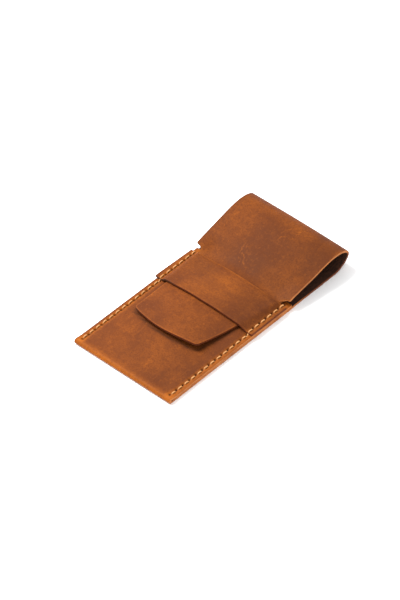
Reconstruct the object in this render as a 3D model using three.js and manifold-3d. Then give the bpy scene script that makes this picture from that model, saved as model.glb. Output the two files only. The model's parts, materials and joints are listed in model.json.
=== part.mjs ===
// Slim flat leather slip case. One long strip of hide is folded up at the bottom into a pocket, runs on
// beyond the mouth, rolls over at the nose and comes back as a flap. The flap narrows to a tongue that is
// tucked under a keeper band. A saddle-stitched seam down each long side holds front, back and band together.
// Millimetres, +Z up. The case lies on its back: X across it, Y from the bottom fold towards the nose.
import * as THREE from 'three';
import { mergeVertices } from 'three/addons/utils/BufferGeometryUtils.js';
import Module from 'manifold-3d';

const wasm = await Module();
wasm.setup();

// ---------- driving dimensions ----------
const WIDTH = 80; // across the pocket
const LENGTH = 169; // bottom fold to nose
const LEATHER = 1.4; // thickness of the hide
const GAP = 0.3; // air between layers that lie on each other
const PITCH = LEATHER + GAP; // from one layer to the next
const HALF = LEATHER / 2;

const FOLD_END = 2.4; // where the bottom fold's straight legs end
const MOUTH = 114; // edge of the front panel
const BAND_START = 75.6;
const BAND_END = 108.7;

const CROWN = 4; // how far the front panel bows up, so that the pocket is open inside
const CROWN_EDGE = 34.6; // the sewn margin outside this stays flat
const CROWN_TOP = 16; // the bow is level inside this
const CROWN_FROM = 8; // the bow rises from here ...
const CROWN_FULL = 34; // ... to its full height here

const SEAM_X = 36.8; // both seams, from the middle of the case
const STITCHES = 18;
const STITCH = 5.9; // length of one stitch
const FIRST_HOLE = 4;
const THREAD_R = 0.4;
const HOLE_R = THREAD_R + GAP;
const SLANT = 0.25; // how far each stitch leans across the seam line

const FLAP_HALF = 39.8; // half the width of the flap
const FLAP_FRONT = 113; // front edge of the flap's square corners
const FILLET = 5.5; // hollow corner between the flap's front edge and the tongue
const TONGUE_SIDE = 33.1; // half the tongue's width where it leaves the fillet
const TIP_CORNER = { x: 26.3, y: 43.1 };
const TIP_SAG = 2.4; // how far the tip's rounded end stands beyond its corners
const TIP_LIFT = 1.6; // how far the tip curls up off the front panel
const TIP_CURL = 34; // and over what length
const ROOT_LEVEL = 118; // the flap is straight across from here on
const CORNER_FROM = 31; // the flap's corners outside this don't dip to the band as the tongue does
const CORNER_START = 112;
const TIP_HINGE = BAND_START - 0.8;
const SLOT_PLAY = 0.4; // between the tongue's sides and the step in the band
const SLOT_END = SEAM_X - 0.9; // the band is down on the front panel outside this

// Centre line of the hide from the flat lower run, round the nose and down the upper run to the flap's
// front. Each point is its distance back from the nose's end, and its height.
const FRONT_Z = 8.3;
const LOOP = [
  [17, HALF], [12.2, 1], [7.8, 2.6], [3.85, 5.3], [1.22, 8.5], [0.78, 11.4], [2.9, 14.4], [7.5, 16.7],
  [14.3, 17.6], [22, 16.9], [30.3, 14.8], [41, 12.2], [51.7, 9.5], [LENGTH - FLAP_FRONT, FRONT_Z],
];
const FRONT_SLOPE = 0.28; // of the flap at its front edge
const LOWER_BEND = 0.12; // where the nose flexes, as shares of that line's length
const NOSE_BEND = 0.258;
const UPPER_BEND = 0.385;

// ---------- small helpers ----------
const clamp01 = (t) => Math.min(1, Math.max(0, t));
const smooth = (from, to, value) => {
  const t = clamp01((value - from) / (to - from));
  return t * t * (3 - 2 * t);
};
const mix = (a, b, t) => a + (b - a) * t;
const steps = (from, to, count) => Array.from({ length: count + 1 }, (_, i) => mix(from, to, i / count));
const mirrored = (xs) => [...xs.filter((x) => x > 0).map((x) => -x).reverse(), ...xs];

const loopPoints = LOOP.map(([back, z]) => new THREE.Vector3(0, LENGTH - back, z));
const loopCurve = new THREE.CatmullRomCurve3(loopPoints, false, 'centripetal');
loopCurve.arcLengthDivisions = 800;
const LOOP_LENGTH = loopCurve.getLength();

// Height of the bow over the flat pocket.
function crown(x, y) {
  return CROWN * smooth(CROWN_EDGE, CROWN_TOP, Math.abs(x)) * smooth(CROWN_FROM, CROWN_FULL, y);
}

function tongueHalf(y) {
  const taper = (TONGUE_SIDE - TIP_CORNER.x) / (FLAP_FRONT - FILLET - TIP_CORNER.y);
  const straight = TIP_CORNER.x + taper * (y - TIP_CORNER.y);
  const up = clamp01((y - FLAP_FRONT + FILLET) / FILLET);
  return y < FLAP_FRONT - FILLET ? straight : TONGUE_SIDE + FILLET * (1 - Math.sqrt(1 - up * up));
}

// Centre height of the tongue: on the front panel, then climbing out of the band to the flap.
function tongueHeight(x, y, flapZ) {
  const lying = 2 * PITCH + HALF + crown(x, y) + TIP_LIFT * clamp01((TIP_HINGE - y) / TIP_CURL) ** 2;
  const corner = smooth(CORNER_FROM, FLAP_HALF, Math.abs(x)) * smooth(BAND_END, CORNER_START, y);
  return mix(lying, flapZ, mix(smooth(BAND_END, ROOT_LEVEL, y), 1, corner));
}

const frontHeight = (x, y) => PITCH + HALF + crown(x, y);

// The band follows the front panel, and steps up over the tongue between the seams.
function bandHeight(x, y) {
  const over = clamp01((SLOT_END - Math.abs(x)) / (SLOT_END - tongueHalf(y) - SLOT_PLAY));
  return 2 * PITCH + HALF + crown(x, y) + PITCH * over;
}

// A closed sheet of hide. rows is a list of { at, half }: half its thickness, and at(u), the point of its
// centre surface as [x, y, z] with the thickness direction [ny, nz]; u runs over the columns.
function sheet(rows, columns) {
  const positions = [];
  for (const side of [1, -1]) {
    for (const row of rows) {
      for (const u of columns) {
        const { x, y, z, ny, nz } = row.at(u);
        positions.push(x, y + side * row.half * ny, z + side * row.half * nz);
      }
    }
  }
  const across = columns.length;
  const layer = rows.length * across;
  const index = [];
  const quad = (a, b, c, d) => index.push(a, b, c, a, c, d);
  for (let r = 0; r + 1 < rows.length; r++) {
    for (let c = 0; c + 1 < across; c++) {
      const a = r * across + c;
      quad(a, a + 1, a + 1 + across, a + across);
      quad(layer + a, layer + a + across, layer + a + 1 + across, layer + a + 1);
    }
  }
  for (let c = 0; c + 1 < across; c++) {
    const last = (rows.length - 1) * across + c;
    quad(c, layer + c, layer + c + 1, c + 1);
    quad(last, last + 1, layer + last + 1, layer + last);
  }
  for (let r = 0; r + 1 < rows.length; r++) {
    const left = r * across;
    const right = left + across - 1;
    quad(left, left + across, layer + left + across, layer + left);
    quad(right, layer + right, layer + right + across, right + across);
  }
  const geometry = new THREE.BufferGeometry();
  geometry.setAttribute('position', new THREE.Float32BufferAttribute(positions, 3));
  geometry.setIndex(index);
  return geometry;
}

// Rows of a sheet that is a height over the table: its columns are x at each y.
function heightRows(ys, height, widthAt = () => 1) {
  return ys.map((y) => ({
    half: HALF,
    at: (u) => ({ x: u * widthAt(y), y, z: height(u * widthAt(y), y), ny: 0, nz: 1 }),
  }));
}

// The half-round end of a piece that flexes about its first row's centre line. forward is 1 where the piece
// runs on along the thickness direction's right-hand side, and -1 where it runs the other way.
function knuckle(first, forward) {
  return [80, 50, 25].map((degrees) => {
    const angle = THREE.MathUtils.degToRad(degrees);
    return {
      half: HALF * Math.cos(angle),
      at: (u) => {
        const p = first.at(u);
        const back = HALF * Math.sin(angle);
        return { ...p, y: p.y - forward * back * p.nz, z: p.z + forward * back * p.ny };
      },
    };
  });
}

// One row of the loop at a share of its length. nudge moves it along the line by millimetres.
function loopRow(share, nudge = 0) {
  const t = clamp01(share + nudge / LOOP_LENGTH);
  const point = loopCurve.getPointAt(t);
  const along = loopCurve.getTangentAt(t);
  // The thickness direction keeps the outside of the hide on the sheet's second face.
  const normal = { ny: -along.z, nz: along.y };
  const onFlap = t > UPPER_BEND;
  return {
    half: HALF,
    at: (x) => ({ x, y: point.y, z: onFlap ? tongueHeight(x, point.y, point.z) : point.z, ...normal }),
  };
}

const CLEAR = HALF + GAP; // a piece stops this far before the line where the next one flexes
const ACROSS = [-FLAP_HALF, FLAP_HALF];
const SHARES = [0, 0.5, 0.6, 0.7, 0.8, 0.9, 1]; // of the tongue's half width, closer together at its sides
const CROWN_COLUMNS = mirrored([0, CROWN_TOP, 19, 22, 25.5, 29, 32, CROWN_EDGE, WIDTH / 2]);

function toSolid(geometry) {
  const bare = geometry.clone();
  bare.deleteAttribute('normal');
  bare.deleteAttribute('uv');
  const merged = mergeVertices(bare, 1e-4);
  const mesh = new wasm.Mesh({
    numProp: 3,
    vertProperties: new Float32Array(merged.attributes.position.array),
    triVerts: new Uint32Array(merged.index.array),
  });
  return new wasm.Manifold(mesh);
}

function toGeometry(solid) {
  const mesh = solid.getMesh();
  const geometry = new THREE.BufferGeometry();
  geometry.setAttribute('position', new THREE.Float32BufferAttribute(mesh.vertProperties, 3));
  geometry.setIndex(Array.from(mesh.triVerts));
  return geometry;
}

// A straight round bar between two points.
function bar(from, to, radius, sides = 6) {
  const start = new THREE.Vector3(...from);
  const end = new THREE.Vector3(...to);
  const geometry = new THREE.CylinderGeometry(radius, radius, start.distanceTo(end), sides);
  const along = end.clone().sub(start).normalize();
  geometry.applyQuaternion(new THREE.Quaternion().setFromUnitVectors(new THREE.Vector3(0, 1, 0), along));
  geometry.translate(...start.add(end).multiplyScalar(0.5).toArray());
  return toSolid(geometry);
}

// ---------- seams ----------
const holeY = (i) => FIRST_HOLE + i * STITCH;
const HOLES = STITCHES + 1;
const onBand = (y) => y > BAND_START && y < BAND_END;
const FRONT_RUN = PITCH + LEATHER + CLEAR - HALF + THREAD_R; // height of the thread on the front panel
const BAND_RUN = FRONT_RUN + PITCH; // and on the band
const TABLE_CLEAR = 0.03;
const BACK_RUN = THREAD_R + TABLE_CLEAR; // the back's thread lies in a groove, clear of the table
const PUNCH_TOP = BAND_RUN + LEATHER; // the holes are cut from below the case to above it

// Cuts the seam's holes through a panel, for the holes that it covers.
function punch(solid, covers) {
  let cut = solid;
  for (const side of [-1, 1]) {
    for (let i = 0; i < HOLES; i++) {
      const y = holeY(i);
      if (covers(y)) {
        cut = cut.subtract(bar([side * SEAM_X, y, -LEATHER], [side * SEAM_X, y, PUNCH_TOP], HOLE_R));
      }
    }
  }
  return cut;
}

function seamThread(side) {
  const x = side * SEAM_X;
  const lean = side * SLANT;
  let thread = null;
  const join = (piece) => {
    thread = thread ? thread.add(piece) : piece;
  };
  for (let i = 0; i < HOLES; i++) {
    const y = holeY(i);
    const climbs = onBand(y) || onBand(y + STITCH) || onBand(y - STITCH);
    join(bar([x, y, BACK_RUN], [x, y, climbs ? BAND_RUN : FRONT_RUN], THREAD_R));
  }
  for (let i = 0; i < STITCHES; i++) {
    const [from, to] = [holeY(i), holeY(i + 1)];
    const z = onBand(from) || onBand(to) ? BAND_RUN : FRONT_RUN;
    join(bar([x - lean, from, z], [x + lean, to, z], THREAD_R));
    join(bar([x + lean, from, BACK_RUN], [x - lean, to, BACK_RUN], THREAD_R));
  }
  return toGeometry(thread);
}

// ---------- the strip of hide ----------
function pocketBack() {
  const columns = [-WIDTH / 2, WIDTH / 2];
  let solid = toSolid(sheet(heightRows([FOLD_END + GAP, MOUTH - GAP / 2], () => HALF), columns));
  const grooveHalf = SLANT + HOLE_R;
  const grooveTop = BACK_RUN + HOLE_R;
  for (const side of [-1, 1]) {
    const groove = new THREE.BoxGeometry(2 * grooveHalf, STITCHES * STITCH + 2 * HOLE_R, 2 * grooveTop);
    groove.translate(side * SEAM_X, FIRST_HOLE + (STITCHES * STITCH) / 2, 0);
    solid = solid.subtract(toSolid(groove));
  }
  return toGeometry(punch(solid, () => true));
}

function pocketFront() {
  const ys = [FOLD_END + GAP, CROWN_FROM, 12, 16, 21, 26, 30, CROWN_FULL, 74, MOUTH];
  return toGeometry(punch(toSolid(sheet(heightRows(ys, frontHeight), CROWN_COLUMNS)), () => true));
}

function bottomFold() {
  const radius = PITCH / 2;
  const centreY = radius + HALF;
  const legs = (z, nz) => ({ half: HALF, at: (x) => ({ x, y: FOLD_END, z, ny: 0, nz }) });
  const bend = steps(-90, -270, 10).map((degrees) => {
    const angle = THREE.MathUtils.degToRad(degrees);
    const [ny, nz] = [Math.cos(angle), Math.sin(angle)];
    return { half: HALF, at: (x) => ({ x, y: centreY + radius * ny, z: PITCH / 2 + HALF + radius * nz, ny, nz }) };
  });
  return sheet([legs(HALF, -1), ...bend, legs(HALF + PITCH, 1)], [-WIDTH / 2, WIDTH / 2]);
}

function keeperBand() {
  const rows = steps(BAND_START, BAND_END, 4).map((y) => {
    const step = tongueHalf(y) + SLOT_PLAY;
    const xs = mirrored([...SHARES.map((share) => share * step), SLOT_END, WIDTH / 2]);
    return { half: HALF, at: (i) => ({ x: xs[i], y, z: bandHeight(xs[i], y), ny: 0, nz: 1 }) };
  });
  const columns = Array.from({ length: 2 * (SHARES.length + 2) - 1 }, (_, i) => i);
  return toGeometry(punch(toSolid(sheet(rows, columns)), onBand));
}

function flapRoot() {
  const flat = heightRows([MOUTH + GAP / 2], () => HALF)[0];
  const ends = steps(0, LOWER_BEND, 6).map((share, i) => loopRow(share, i === 6 ? -CLEAR : 0));
  return sheet([flat, ...ends], ACROSS);
}

// A stretch of the loop from the line where it flexes to just before the next one.
function loopStretch(from, to, count, columns, endNudge) {
  const rows = steps(from, to, count).map((share, i) => loopRow(share, i === count ? endNudge : 0));
  return sheet([...knuckle(rows[0], 1), ...rows], columns);
}

const FLAP_COLUMNS = mirrored([0, CROWN_TOP, 22, 27, 31, 34, 37, FLAP_HALF]);
const flapCover = () => loopStretch(UPPER_BEND, 1, 16, FLAP_COLUMNS, -GAP / 2);

const TONGUE_COLUMNS = mirrored(SHARES);

function tongue() {
  const fillet = steps(0, 80, 5).map((d) => FLAP_FRONT - FILLET + FILLET * Math.sin(THREE.MathUtils.degToRad(d)));
  const ys = [TIP_HINGE + CLEAR, 85, 96, ...fillet];
  const flapLine = (y) => FRONT_Z - FRONT_SLOPE * (FLAP_FRONT - y);
  const last = FLAP_FRONT - GAP / 2;
  const rows = heightRows([...ys, last], (x, y) => tongueHeight(x, y, flapLine(y)), tongueHalf);
  return sheet(rows, TONGUE_COLUMNS);
}

function tongueTip() {
  const arcRadius = (TIP_CORNER.x ** 2 + TIP_SAG ** 2) / (2 * TIP_SAG);
  const rows = steps(0, 1, 6).map((share) => ({
    half: HALF,
    at: (u) => {
      const end = TIP_CORNER.y - (Math.sqrt(arcRadius ** 2 - (u * TIP_CORNER.x) ** 2) - arcRadius + TIP_SAG);
      const y = mix(TIP_HINGE, end, share);
      const x = u * tongueHalf(y);
      return { x, y, z: tongueHeight(x, y, 0), ny: 0, nz: 1 };
    },
  }));
  // Rows run towards the bottom fold here, so the columns are reversed to keep the faces outward.
  return sheet([...knuckle(rows[0], -1), ...rows], [...TONGUE_COLUMNS].reverse());
}

// ---------- assembly ----------
const hide = (color) => new THREE.MeshStandardMaterial({ color, roughness: 0.55, metalness: 0 });
const waxedThread = new THREE.MeshStandardMaterial({ color: 0xdf9a4c, roughness: 0.6, metalness: 0 });

const object = new THREE.Group();
object.position.y = -LENGTH / 2;

function add(name, geometry, material) {
  const mesh = new THREE.Mesh(geometry, material);
  mesh.name = name;
  object.add(mesh);
}

add('pocket_back', pocketBack(), hide(0x9a5931));
add('pocket_bottom_fold', bottomFold(), hide(0xb86c2e));
add('pocket_front', pocketFront(), hide(0x9f5b32));
add('keeper_band', keeperBand(), hide(0xa45e30));
add('flap_root', flapRoot(), hide(0x955432));
add('nose_lower', loopStretch(LOWER_BEND, NOSE_BEND, 6, ACROSS, -CLEAR), hide(0x965533));
add('nose_upper', loopStretch(NOSE_BEND, UPPER_BEND, 6, ACROSS, -CLEAR), hide(0x9a5934));
add('flap_cover', flapCover(), hide(0x985935));
add('tongue', tongue(), hide(0x9d5b33));
add('tongue_tip', tongueTip(), hide(0x9d5b33));
add('left_seam_thread', seamThread(-1), waxedThread);
add('right_seam_thread', seamThread(1), waxedThread);

export default object;
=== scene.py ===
"""Slim leather slip case: a strip of waxed pull-up hide folded into a pocket, rolled over at the nose into
a flap, and tucked by its tongue under a keeper band. Lengths are in millimetres until a mesh is made."""

import json
import math

import bpy
import numpy as np
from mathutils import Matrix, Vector
from mathutils.geometry import delaunay_2d_cdt


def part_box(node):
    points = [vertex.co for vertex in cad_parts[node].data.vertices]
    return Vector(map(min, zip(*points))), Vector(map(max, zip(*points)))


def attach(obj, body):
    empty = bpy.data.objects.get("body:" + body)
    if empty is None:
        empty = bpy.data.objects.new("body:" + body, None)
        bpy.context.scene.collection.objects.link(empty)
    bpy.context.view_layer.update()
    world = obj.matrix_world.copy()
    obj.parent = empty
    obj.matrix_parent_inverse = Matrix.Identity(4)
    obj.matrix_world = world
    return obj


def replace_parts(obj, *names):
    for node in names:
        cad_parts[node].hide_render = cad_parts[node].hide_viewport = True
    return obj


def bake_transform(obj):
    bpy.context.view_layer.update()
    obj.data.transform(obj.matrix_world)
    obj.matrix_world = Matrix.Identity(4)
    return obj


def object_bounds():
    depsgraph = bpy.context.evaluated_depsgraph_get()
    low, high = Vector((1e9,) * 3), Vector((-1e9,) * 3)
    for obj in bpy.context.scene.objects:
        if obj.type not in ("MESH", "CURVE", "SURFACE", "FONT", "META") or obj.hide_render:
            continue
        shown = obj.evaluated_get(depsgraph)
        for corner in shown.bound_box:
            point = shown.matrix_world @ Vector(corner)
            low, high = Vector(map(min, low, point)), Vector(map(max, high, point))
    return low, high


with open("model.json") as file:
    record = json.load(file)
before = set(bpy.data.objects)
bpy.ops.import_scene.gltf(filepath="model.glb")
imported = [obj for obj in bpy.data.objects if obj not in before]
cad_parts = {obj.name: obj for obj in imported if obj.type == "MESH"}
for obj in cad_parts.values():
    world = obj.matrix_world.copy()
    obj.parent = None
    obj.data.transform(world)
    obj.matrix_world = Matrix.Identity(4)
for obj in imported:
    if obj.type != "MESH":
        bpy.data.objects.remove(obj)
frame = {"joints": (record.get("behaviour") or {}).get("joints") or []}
CAD_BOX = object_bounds()
MM = 0.001


# ---------- measures from the frame ----------
def node_box(node):
    """Lowest and highest corner of a CAD node, in millimetres."""
    low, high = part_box(node)
    return np.array(low) / MM, np.array(high) / MM


def joint_point(name):
    """A joint's point at rest, as (up, z): its distance from the bottom fold and its height."""
    joint = next(j for j in frame["joints"] if j["name"] == name)
    return joint["pos_m"][1] / MM - BASE_Y, joint["pos_m"][2] / MM


BASE_Y = node_box("pocket_bottom_fold")[0][1]  # the bottom fold; "up" is measured from here to the nose
CASE_HALF = node_box("pocket_front")[1][0]
FLAP_HALF = node_box("flap_cover")[1][0]
MOUTH = node_box("pocket_front")[1][1] - BASE_Y
BAND_START, BAND_END = (corner[1] - BASE_Y for corner in node_box("keeper_band"))
FLAP_FRONT = (node_box("flap_cover")[0][1] + node_box("tongue")[1][1]) / 2 - BASE_Y
LENGTH = (CAD_BOX[1].y - CAD_BOX[0].y) / MM
PITCH = node_box("pocket_front")[0][2]  # height from one layer of hide to the next
LOWER_HINGE = joint_point("flap_open")
NOSE_HINGE = joint_point("nose_unroll")
UPPER_HINGE = joint_point("flap_swing")
TIP_HINGE = joint_point("tongue_tip_lift")

THREAD_LOW, THREAD_HIGH = node_box("right_seam_thread")
SEAM_X = (THREAD_LOW[0] + THREAD_HIGH[0]) / 2
CAD_THREAD_R = 0.4
FIRST_HOLE = THREAD_LOW[1] + CAD_THREAD_R - BASE_Y
STITCHES = 18
STITCH = (THREAD_HIGH[1] - THREAD_LOW[1] - 2 * CAD_THREAD_R) / STITCHES

# ---------- the hide's own measures ----------
# Two places in brackets are where something begins to come on and where it is full.
HAIRLINE = 0.04  # air between layers that touch
HALF = (PITCH - HAIRLINE) / 2  # half the hide's thickness
EDGE_R = 0.34  # rounding of the cut edges
CUT_BAND = 0.2  # a cut edge's finish reaches this far in
CROWN = 1.5  # the front panel's bow over the pocket
CROWN_REACH = (34.6, 4.0)  # distances from the middle line
CROWN_RISE = (6.0, 70.0)  # heights up the case
WAVER = 0.16  # unevenness of hide that lies flat
WAVER_RISE = (0.0, 18.0)
FILLET = 5.5  # radius of the hollow corners between flap and tongue
TONGUE_SIDE = 33.1  # half the tongue's width at those corners
TIP_X, TIP_UP = 26.3, 43.6  # the tip's corners
TIP_SAG = 3.0  # how far its rounded end reaches past them
TIP_SKEW = 1.3  # its left corner is cut this much higher
TIP_OUTSET = 0.4  # and this much further out
TIP_CORNER_R = 2.8
TIP_REACH = 34.0  # length of the tongue's free end
TIP_LIFT, TIP_LIFT_POWER = 1.8, 1.6  # how far the tip stands up, and how late
TIP_CURL, CURL_REACH = 1.7, (-12.0, 26.0)  # its right corner stands up more
ROOT_LEVEL = 127.0  # from this height up the tongue has joined the flap's curve
ROOT_DIP = 0.8  # it starts to rise this far under the band
SHOULDER_X, SHOULDER_LEVEL = 27.0, 113.5  # the flap's square corners keep that curve further down
OUT_OF_SQUARE = 0.75  # the flap's front edge is this low at its right end and high at its left
DRIFT, DRIFT_FROM = 0.055, 128.0  # the tongue's slope to the left, from this height down
DRIFT_EASE = 25.0  # it bends into that slope over this length
DROOP, DROOP_FROM = 0.115, -20.0  # the roll's right end is this share flatter, from this x on
DROOP_FADE = (116.0, 134.0)
CORNER_LIFT, CORNER_FROM = 0.7, 18.0  # the flap's right corner stands up again, from this x on
CORNER_FADE = (121.0, 113.0)
FOLD_BULGE = 0.25  # the bottom fold is this much rounder than two layers
FOLD_NECK = 7.0  # the bulge dies out over this length
BAND_GAPE, GAPE_REACH = 0.5, 7.0  # the band stands off the tongue at its near edge
BAND_CORNER_R = 0.7
BAND_PAST_LEFT = (0.3, 1.1)  # its left end stands out this far, at its far and near corner
STEP_MARGIN = 0.8  # the band is down this far inside the seams
TONGUE_PLAY = 0.2  # room beside the tongue under the band
MOUTH_CORNER_R, FLAP_CORNER_R = 0.8, 1.0
MOUTH_STEP = 3.0  # the pocket's width runs into the flap's over this length
FRONT_Z, FRONT_SLOPE = 6.7, 0.3  # of the path at the flap's front edge
PATH_SPARE = 1.0  # spare path past the mouth edge and before the fold's neck
PATH_END = 20.0  # the path runs on past the tip, down to this height
# The loop's centre line, as distances back from the nose and heights.
LOOP = [
    (17, HALF), (12.2, 1.05), (7.8, 2.6), (3.85, 5.3), (1.22, 8.5), (0.78, 11.4), (2.9, 14.4),
    (7.5, 16.7), (14.3, 17.5), (22, 16.6), (30.3, 14.5), (41, 11.7), (51.7, 8.4),
    (LENGTH - FLAP_FRONT, FRONT_Z),
]


def smooth(start, end, value):
    """0 up to the start and 1 from the end on, with a soft rise between them."""
    t = np.clip((value - start) / (end - start), 0, 1)
    return t * t * (3 - 2 * t)


def hump(value, middle, width):
    """1 at the middle, falling off softly to both sides."""
    return np.exp(-(((value - middle) / width) ** 2))


def mix(a, b, t):
    return a + (b - a) * t


def unit(rows):
    return rows / np.linalg.norm(rows, axis=1)[:, None]


def crown(x, up):
    """Height of the front panel's bow."""
    return CROWN * smooth(*CROWN_REACH, np.abs(x)) * smooth(*CROWN_RISE, up)


def waver(x, up):
    """The slight unevenness of flat hide, the same in every layer there."""
    inside = smooth(SEAM_X - 1, SEAM_X - 12, np.abs(x))
    waves = np.sin(0.11 * x + 0.05 * up + 0.7) * np.sin(0.083 * up - 0.031 * x + 1.9)
    return WAVER * inside * waves * smooth(*WAVER_RISE, up)


def tongue_half(up):
    taper = (TONGUE_SIDE - TIP_X) / (FLAP_FRONT - FILLET - TIP_UP)
    return TIP_X + taper * (up - TIP_UP)


def drift(up):
    """How far the flap and its tongue have run to the left."""
    run = np.maximum(0, DRIFT_FROM - up)
    return -DRIFT * run**2 / (run + DRIFT_EASE)


def droop(x, up, z, on_flap):
    """How far the roll sinks towards its right end; the flap's right corner rises again."""
    across = np.clip((x - DROOP_FROM) / (FLAP_HALF - DROOP_FROM), 0, 1) ** 2
    sunk = DROOP * (z - HALF) * across * np.where(on_flap, smooth(*DROOP_FADE, up), 1)
    return sunk - CORNER_LIFT * smooth(CORNER_FROM, FLAP_HALF, x) * smooth(*CORNER_FADE, up) * on_flap


def front_height(x, up):
    return PITCH + HALF + crown(x, up) + waver(x, up)


def tongue_height(x, up, flap_z):
    """The tongue lies on the front panel, lifts at its tip, and rises to the flap at its root."""
    free = np.clip((TIP_HINGE[0] - up) / TIP_REACH, 0, 1)
    lift = TIP_LIFT * free**TIP_LIFT_POWER + TIP_CURL * free**2 * smooth(*CURL_REACH, x)
    lying = front_height(x, up) + PITCH + lift
    shoulder = smooth(SHOULDER_X, FLAP_HALF, np.abs(x)) * smooth(BAND_END, SHOULDER_LEVEL, up)
    return mix(lying, flap_z, mix(smooth(BAND_END - ROOT_DIP, ROOT_LEVEL, up), 1, shoulder))


def band_height(x, up):
    """The band lies on the front panel at the seams and steps up over the tongue between them."""
    edge, half, middle = SEAM_X - STEP_MARGIN, tongue_half(up) + TONGUE_PLAY, drift(up)
    left = (edge + x) / (edge - half + middle)
    right = (edge - x) / (edge - half - middle)
    over_tongue = smooth(0, 1, np.minimum(left, right))
    gape = BAND_GAPE * smooth(BAND_START + GAPE_REACH, BAND_START, up)
    return front_height(x, up) + PITCH + (PITCH + gape) * over_tongue


# ---------- the strip's path, from the mouth edge to the tongue's tip ----------
def between(low, high, t, start, end):
    """From start to end, evenly, while t goes from low to high."""
    return (high - t) / (high - low) * start + (t - low) / (high - low) * end


def through(points, per_span=60):
    """A smooth centripetal curve through points of the plane."""
    points = np.array(points, float)
    points = np.vstack([2 * points[0] - points[1], points, 2 * points[-1] - points[-2]])
    out = []
    for i in range(1, len(points) - 2):
        p = points[i - 1 : i + 3]
        chords = np.linalg.norm(np.diff(p, axis=0), axis=1)
        knots = np.concatenate([[0], np.cumsum(np.sqrt(chords))])
        t = np.linspace(knots[1], knots[2], per_span, endpoint=False)[:, None]
        a = [between(knots[k], knots[k + 1], t, p[k], p[k + 1]) for k in range(3)]
        b = [between(knots[k], knots[k + 2], t, a[k], a[k + 1]) for k in range(2)]
        out.append(between(knots[1], knots[2], t, b[0], b[1]))
    return np.vstack([*out, points[-2:-1]])


def run_along(line):
    """Distance along a line at each of its points."""
    return np.concatenate([[0], np.cumsum(np.linalg.norm(np.diff(line, axis=0), axis=1))])


def strip_path():
    """(s, up, z) along the strip's centre line, s being the distance along the hide from the fold."""
    radius = PITCH / 2 + FOLD_BULGE
    turn = np.linspace(math.pi / 2, 3 * math.pi / 2, 40)
    fold_up = HALF + radius + radius * np.cos(turn)
    fold_z = HALF + PITCH / 2 + radius * np.sin(turn) + FOLD_BULGE  # its underside stays on the table
    front_z = PITCH + HALF
    away = np.linspace(1, 0, 12)[:-1]
    line = np.vstack([
        [(MOUTH + PATH_SPARE, front_z), (FOLD_NECK + PATH_SPARE, front_z)],
        np.stack([mix(fold_up[0], FOLD_NECK, away), mix(fold_z[0], front_z, smooth(0, 1, away))], axis=1),
        np.stack([fold_up, fold_z], axis=1),
        [(FOLD_NECK, HALF)],
        through([(LENGTH - back_off, z) for back_off, z in LOOP]),
        [(PATH_END, FRONT_Z - FRONT_SLOPE * (FLAP_FRONT - PATH_END))],
    ])
    s = run_along(line)
    return s - s[np.argmin(line[:, 0])], line[:, 0], line[:, 1]


PATH_S, PATH_UP, PATH_Z = strip_path()
NOSE_S = PATH_S[np.argmax(PATH_UP)]


def s_at(up, part):
    """Distance along the hide where it crosses a height up the case: on its front, back or flap."""
    back = (PATH_S >= 0) & (PATH_S <= NOSE_S)
    stretch = {"front": PATH_S <= 0, "back": back, "flap": PATH_S >= NOSE_S}[part]
    ups, s = PATH_UP[stretch], PATH_S[stretch]
    order = np.argsort(ups)
    return float(np.interp(up, ups[order], s[order]))


def s_near(point):
    """Distance along the hide to its point nearest to a hinge."""
    return float(PATH_S[np.argmin((PATH_UP - point[0]) ** 2 + (PATH_Z - point[1]) ** 2)])


LOWER_S, BEND_S, UPPER_S = s_near(LOWER_HINGE), s_near(NOSE_HINGE), s_near(UPPER_HINGE)
MOUTH_S, BACK_MOUTH_S = s_at(MOUTH, "front"), s_at(MOUTH, "back")
FRONT_S = s_at(FLAP_FRONT, "flap")
TIP_S = s_at(TIP_UP, "flap")
TIP_HINGE_S = s_at(TIP_HINGE[0], "flap")
TIP_ROOT = 92.0  # the tongue's free end is its own piece, from this height under the band
BEND_REACH = 6.0  # a bend reaches this far past its hinge
# Where the strip's pieces meet: between its hinges, and under the band.
JOINTS = [LOWER_S - BEND_REACH, (LOWER_S + BEND_S) / 2, (BEND_S + UPPER_S) / 2, UPPER_S + BEND_REACH]
JOINTS.append(s_at(TIP_ROOT, "flap"))


def on_path(s):
    """(up, z) of the strip's path this far along the hide."""
    return np.interp(s, PATH_S, PATH_UP), np.interp(s, PATH_S, PATH_Z)


def strip_centre(x, s):
    """Points of the strip's centre surface."""
    up, z = on_path(s)
    on_flap = s > NOSE_S
    x = x + np.where(on_flap, drift(up), 0)
    rolled = z - droop(x, up, z, on_flap)
    flap = np.where(up < ROOT_LEVEL, tongue_height(x, up, rolled), rolled)
    z = np.where(s < 0, z + crown(x, up) + waver(x, up), np.where(on_flap, flap, rolled))
    return np.stack([x, up, z], axis=1)


def band_centre(x, up):
    return np.stack([x, up, band_height(x, up)], axis=1)


# ---------- sheets of hide ----------
INSETS = (0.07, 0.18, 0.32, 0.5, 0.75)  # rows of points follow a cut edge this far in
STRAIGHT, BENT = 1.3, 0.28  # spacing of points along a cut edge, and where it turns the bottom fold
ARC_STEP = 0.45  # and round a corner
FOLD_REACH = 6.5  # an edge this near to the bottom fold is turning it
JOINT_MARGIN, JOINT_POINTS = 1.6, 57  # plain points of a joint line, this far from its ends
EDGE_GAP, JOINT_GAP = 0.3, 0.35  # least room between those rows and the inner points
NET_MERGE, SLIVER = 1e-4, 1e-7  # nearer points are one, smaller triangles are left out
NEAR = 3.0  # distances from a cut edge matter only this far in
SHARP = math.radians(55)
GRAIN, FLESH, CUT = 0, 1, 2  # a sheet's materials
FLAT_PER_METRE = 10  # units of the flat map in a metre


def mirrored(corners):
    """The same cut edge on the left side, with the hide on its left again."""
    return [(-x, s, radius) for x, s, radius in reversed(corners)]


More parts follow.
